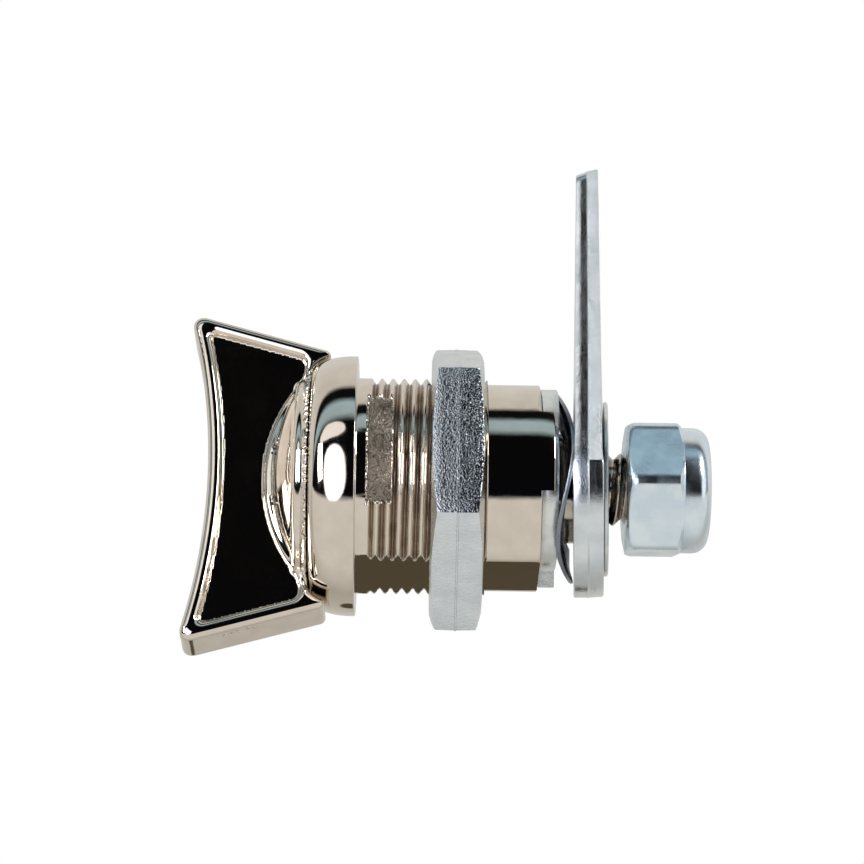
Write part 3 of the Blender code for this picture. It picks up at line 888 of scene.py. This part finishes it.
turns = stop_turns()
off = np.abs((np.degrees(turns) - TAB_REST_DEG + 90) % 180 - 90)
rim = np.where(off < TAB_HALF_DEG + 0.3, TAB_RADIUS, STOP_RADIUS)
rings = [
    square_ring(STOP_FROM, HOLE_HALF, turns),
    ring(STOP_FROM, rim - PLATE_ROUND, turns),
    ring(STOP_FROM + PLATE_ROUND * 0.3, rim - PLATE_ROUND * 0.3, turns),
    ring(STOP_FROM + PLATE_ROUND, rim, turns),
    ring((STOP_FROM + STOP_TO) / 2, rim, turns),
    ring(STOP_TO - PLATE_ROUND, rim, turns),
    ring(STOP_TO - PLATE_ROUND * 0.3, rim - PLATE_ROUND * 0.3, turns),
    ring(STOP_TO, rim - PLATE_ROUND, turns),
    square_ring(STOP_TO, HOLE_HALF, turns),
]
stop_washer = skin("zinc_stop_washer", rings)
brushed_zinc = plated(
    "brushed_zinc",
    (0.82, 0.85, 0.84),
    (0.72, 0.76, 0.77),
    polish=0.22,
    spread=0.12,
    wave=0.7,
    grain_size=0.12,
    share=0.5,
    relief=0.014,
)
stop_washer.data.materials.append(brushed_zinc)
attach(stop_washer, "turning_parts")
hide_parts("stop_washer")


# Wave washer: a thin ring of dark spring steel, bent into three waves. It presses the cam away
# from the stop washer, and gives the latch its drag.

WAVE_INNER = 5.3
WAVE_OUTER = 8.25
WAVE_THICK = 0.34
WAVE_MIDDLE = 18.17
WAVE_HEIGHT_IN = 0.34
WAVE_HEIGHT_OUT = 0.66
WAVE_LEFT_DEG = 65.0  # where a crest touches the stop washer
WAVE_COUNT = 3
WAVE_FLARE_FROM = 6.8
DROP_HALF_DEG = 22
DROP_DEPTH = 0.45
WAVE_BACK = 19.35
CAM_LEAN_DEG = 3.25  # the washer takes up half of the cam's lean

wave_turns = np.linspace(0, 2 * pi, 180, endpoint=False)


def wave_ring(radius, lift):
    """One ring of the washer, which waves more towards its rim and leans with the cam."""
    share = smooth_step(np.asarray(radius), WAVE_FLARE_FROM, WAVE_OUTER)
    tall = WAVE_HEIGHT_IN + (WAVE_HEIGHT_OUT - WAVE_HEIGHT_IN) * share
    bend = -np.cos(WAVE_COUNT * (wave_turns - radians(WAVE_LEFT_DEG)))
    lean = -np.cos(wave_turns) * radius * sin(radians(CAM_LEAN_DEG / 2))
    along = WAVE_MIDDLE + tall * bend + lean + lift
    # A crest drops past the stop washer where neither a tab nor a lug is in its way
    off = np.abs((wave_turns - radians(WAVE_LEFT_DEG - 360 / WAVE_COUNT) + pi) % (2 * pi) - pi)
    free = (off < radians(DROP_HALF_DEG)) & (np.asarray(radius) > STOP_RADIUS + 0.2)
    return ring(np.clip(along, np.where(free, STOP_TO - DROP_DEPTH, STOP_TO + 0.01), WAVE_BACK), radius, wave_turns)


radii = np.linspace(WAVE_INNER, WAVE_OUTER, 9)
half_thick = WAVE_THICK / 2
rings = [wave_ring(radius, -half_thick) for radius in radii]
rings += [wave_ring(WAVE_OUTER + 0.05, -half_thick * 0.5), wave_ring(WAVE_OUTER + 0.05, half_thick * 0.5)]
rings += [wave_ring(radius, half_thick) for radius in radii[::-1]]
wave_washer = skin("spring_wave_washer", rings, 50)
spring_steel = plated(
    "dark_spring_steel",
    (0.30, 0.33, 0.38),
    (0.22, 0.24, 0.29),
    polish=0.20,
    spread=0.12,
    wave=0.9,
    grain_size=0.10,
    share=0.3,
    relief=0.010,
)
wave_washer.data.materials.append(spring_steel)
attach(wave_washer, "turning_parts")
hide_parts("wave_washer")


# Cam: a steel arm punched from plate, with a round end about its square hole and a tip that swings
# behind the cabinet frame. Its edge is half smooth and half torn, as punching leaves it, and it is
# zinc plated. The lock nut is backed off, so the cam leans on the spindle.

CAM_TILT_DEG = 0.4
CAM_CENTRE = 20.3
CAM_HALF_WIDTH = 9.5
CAM_LENGTH = 27.4
CAM_TIP_SLANT = 0.8
CAM_TIP_RADIUS = 1.1
CAM_HUB_THICK = 2.62
CAM_ARM_THICK = 2.36
CAM_TIP_THICK = 1.95
CAM_ARM_FROM = -1.6
CAM_ARM_EASE = 1.2
CAM_ROUND = 0.10
CAM_RIDGE = 0.05
CAM_TORN_FROM = -1.2  # the torn half of the edge ends beside the hub


def cam_outline(inward=0.0, reach=CAM_LENGTH):
    """The cam's outline: across, and up towards the tip. It starts at the viewer's side."""
    half = CAM_HALF_WIDTH - inward
    tip = reach - inward
    points = [(half * cos(t), half * sin(t)) for t in np.linspace(0, -pi, 96)]
    points += [(-half, z) for z in np.linspace(0, tip - CAM_TIP_RADIUS, 110)[1:]]
    for t in np.linspace(pi, pi / 2, 10)[1:]:
        points.append((-half + CAM_TIP_RADIUS * (1 + cos(t)), tip - CAM_TIP_RADIUS * (1 - sin(t))))
    points += [(y, tip) for y in np.linspace(-half + CAM_TIP_RADIUS, half - CAM_TIP_RADIUS, 40)[1:]]
    for t in np.linspace(pi / 2, 0, 10)[1:]:
        points.append((half - CAM_TIP_RADIUS * (1 - cos(t)), tip - CAM_TIP_RADIUS * (1 - sin(t))))
    points += [(half, z) for z in np.linspace(tip - CAM_TIP_RADIUS, 0, 110)[1:-1]]
    return np.array(points)


def cam_ring(share, inward):
    """A ring round the cam's edge, from its knob side at -1 to its nut side at 1."""
    outline = cam_outline(inward, CAM_LENGTH + CAM_TIP_SLANT * (share - 1) / 2)
    across, up = outline.T
    hub = smooth_step(up, CAM_ARM_FROM, CAM_ARM_FROM + CAM_ARM_EASE)
    thick = CAM_HUB_THICK + (CAM_ARM_THICK - CAM_HUB_THICK) * hub
    thick = thick - (CAM_ARM_THICK - CAM_TIP_THICK) * np.clip(up / CAM_LENGTH, 0, 1)
    return np.stack([share * thick / 2, -across, up], axis=1)


def hole_ring(share, half):
    """A ring of the cam's square hole, with a point for each point of its outline."""
    outer = cam_outline()
    turns = np.arctan2(outer[:, 1], outer[:, 0])
    reach = half / np.maximum(np.abs(np.cos(turns)), np.abs(np.sin(turns)))
    along = np.full(len(turns), share * CAM_HUB_THICK / 2)
    return np.stack([along, -reach * np.cos(turns), reach * np.sin(turns)], axis=1)


def lean_cam():
    """Where the cam and its thin washer lie: leaning on the spindle, with the tip from the knob."""
    tilt = Matrix.Rotation(radians(CAM_TILT_DEG), 4, "Y")
    lean = Matrix.Rotation(-radians(CAM_LEAN_DEG), 4, "Z")
    return Matrix.Translation((CAM_CENTRE * MM, 0, 0)) @ tilt @ lean


rings = [hole_ring(-1, HOLE_HALF), cam_ring(-1, 0.9), cam_ring(-1, CAM_ROUND)]
rings += [cam_ring(-0.95, 0.025), cam_ring(-0.88, 0.0), cam_ring(-0.45, 0.0), cam_ring(-0.06, 0.0)]
rings += [cam_ring(0.0, -CAM_RIDGE), cam_ring(0.06, 0.0), cam_ring(0.45, 0.04), cam_ring(0.88, 0.08)]
rings += [cam_ring(0.95, 0.12), cam_ring(1, 0.2), cam_ring(1, 0.9), hole_ring(1, HOLE_HALF)]
cam = skin("zinc_cam_arm", rings, 25)
smooth_cut = plated(
    "sheared_zinc",
    ZINC_TINT,
    ZINC_CLOUD,
    polish=0.13,
    spread=0.10,
    wave=0.6,
    grain_size=0.14,
    share=0.6,
    relief=0.014,
)
torn_cut = plated(
    "torn_zinc",
    (0.86, 0.90, 0.94),
    ZINC_TINT,
    polish=0.10,
    spread=0.05,
    wave=0.26,
    grain_size=0.13,
    share=1.4,
    relief=0.130,
)
cam.data.materials.append(smooth_cut)
cam.data.materials.append(torn_cut)
for side in cam.data.polygons:
    on_edge = abs(side.normal.x) < 0.7
    above_hub = side.center.z > CAM_TORN_FROM * MM
    side.material_index = int(on_edge and above_hub and side.center.x > 0)
cam.data.transform(lean_cam())
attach(cam, "turning_parts")
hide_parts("cam")


# Thin washer: a flat steel washer between the cam and the lock nut. It is punched from thin
# sheet and zinc plated, and it leans with the cam.

THIN_OUTER = 7.65
THIN_INNER = 3.6
THIN_THICK = 0.36
THIN_FROM = 1.36  # from the cam's middle

turns = np.linspace(0, 2 * pi, 144, endpoint=False)
rings = []
for along, radius in (
    (0.0, THIN_INNER + 0.05),
    (0.0, THIN_OUTER - 0.08),
    (0.06, THIN_OUTER),
    (THIN_THICK - 0.12, THIN_OUTER),
    (THIN_THICK, THIN_OUTER - 0.2),
    (THIN_THICK, THIN_INNER + 0.05),
    (THIN_THICK / 2, THIN_INNER),
):
    rings.append(ring(THIN_FROM + along, radius, turns))
thin_washer = skin("zinc_thin_washer", rings)
thin_washer.data.transform(lean_cam())
thin_washer.data.materials.append(brushed_zinc)
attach(thin_washer, "turning_parts")
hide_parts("thin_washer")


# Lock nut: a cold-formed steel hexagon with a round collar that is crimped over a nylon ring. It
# is zinc plated, brushed by tumbling, and chamfered where it meets the washer.

LOCK_APOTHEM = 5.555
LOCK_TURN_DEG = 14.6
LOCK_HEX_HEIGHT = 4.9
LOCK_FACE_RADIUS = 5.25
LOCK_BORE = 3.2
COLLAR_RADIUS = 5.5
COLLAR_ROUND = 1.35
COLLAR_HOLE = 3.9
LOCK_CHAMFER_SLOPE = 0.8
SHOULDER_SLOPE = 0.55
SEAT_RADIUS = 4.6  # the groove that holds the nylon ring, and its depths from the collar's end
SEAT_NEAR = 0.75
SEAT_FAR = 2.7

lock_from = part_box("lock_nut")[0].x / MM
lock_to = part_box("lock_nut")[1].x / MM
turns = hex_angles(LOCK_TURN_DEG)
lock_side = hex_radius(LOCK_APOTHEM, turns, LOCK_TURN_DEG, 0.16)
cut = np.maximum((lock_side - LOCK_FACE_RADIUS) * LOCK_CHAMFER_SLOPE, 0.12)
shoulder = np.maximum((lock_side - COLLAR_RADIUS) * SHOULDER_SLOPE, 0.02)
hex_end = lock_from + LOCK_HEX_HEIGHT
rings = [ring(lock_from + 0.3, LOCK_BORE, turns), ring(lock_from, LOCK_BORE + 0.4, turns)]
rings += [ring(lock_from, np.minimum(LOCK_FACE_RADIUS - 0.3, lock_side - 0.15), turns)]
for share in (0.35, 0.7, 1.0):
    curve = 1 - (1 - share) ** 2
    rings.append(ring(lock_from + cut * share, (lock_side - cut * 0.55) + cut * 0.55 * curve, turns))
for share in (0.02, 0.3, 0.6, 0.98):
    start, stop = lock_from + cut, hex_end - shoulder
    rings.append(ring(start + (stop - start) * share, lock_side, turns))
rings += [ring(hex_end - shoulder * 0.4, lock_side * 0.55 + COLLAR_RADIUS * 0.45, turns)]
rings += [ring(hex_end + 0.02, COLLAR_RADIUS, turns)]
for i in range(9):
    turn_end = pi / 2 * i / 8
    along = lock_to - COLLAR_ROUND * (1 - sin(turn_end))
    rings.append(ring(along, COLLAR_RADIUS - COLLAR_ROUND * (1 - cos(turn_end)), turns))
rings += [ring(lock_to - 0.15, COLLAR_HOLE, turns), ring(lock_to - 0.7, COLLAR_HOLE, turns)]
rings += [ring(lock_to - SEAT_NEAR, SEAT_RADIUS, turns), ring(lock_to - SEAT_FAR, SEAT_RADIUS, turns)]
rings += [ring(lock_to - SEAT_FAR, LOCK_BORE, turns)]
lock_nut = skin("zinc_lock_nut", rings, 22)
tumbled_zinc = plated(
    "tumbled_zinc",
    (0.84, 0.93, 0.99),
    (0.74, 0.86, 0.96),
    polish=0.18,
    spread=0.12,
    wave=1.2,
    grain_size=0.10,
    share=0.5,
    relief=0.012,
)
lock_nut.data.materials.append(tumbled_zinc)
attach(lock_nut, "turning_parts")
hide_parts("lock_nut")


# Lock nut insert: a natural nylon ring, moulded plain and crimped into the collar. The stud cuts
# its own thread in it, which keeps the nut from working loose.

INSERT_OUTER = 4.5
INSERT_INNER = 3.2

insert_from = lock_to - 2.6
insert_to = lock_to - 0.8
turns = np.linspace(0, 2 * pi, 96, endpoint=False)
rings = [
    ring(insert_from, INSERT_INNER, turns),
    ring(insert_from, INSERT_OUTER, turns),
    ring(insert_to, INSERT_OUTER, turns),
    ring(insert_to, INSERT_INNER + 0.12, turns),
    ring(insert_to - 0.12, INSERT_INNER, turns),
]
insert = skin("nylon_ring", rings)
nylon = bpy.data.materials.new("natural_nylon")
nylon.use_nodes = True
tree = nylon.node_tree
surface = tree.nodes["Principled BSDF"]
surface.inputs["Subsurface Weight"].default_value = 0.2
surface.inputs["Subsurface Radius"].default_value = (0.001, 0.001, 0.001)
milky = tree.nodes.new("ShaderNodeTexNoise")
milky.inputs["Scale"].default_value = 900.0
wire(tree, (tree.nodes.new("ShaderNodeTexCoord").outputs["Object"], milky.inputs["Vector"]))
tint = shade_ramp(tree, milky.outputs["Fac"], [(0.3, (0.70, 0.71, 0.64)), (0.7, (0.80, 0.80, 0.74))])
dull = shade_ramp(tree, milky.outputs["Fac"], [(0.3, 0.45), (0.7, 0.60)])
bump = tree.nodes.new("ShaderNodeBump")
bump.inputs["Distance"].default_value = 0.00001
wire(
    tree,
    (tint, surface.inputs["Base Color"]),
    (dull, surface.inputs["Roughness"]),
    (milky.outputs["Fac"], bump.inputs["Height"]),
    (bump.outputs["Normal"], surface.inputs["Normal"]),
)
insert.data.materials.append(nylon)
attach(insert, "turning_parts")
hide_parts("lock_nut_insert")
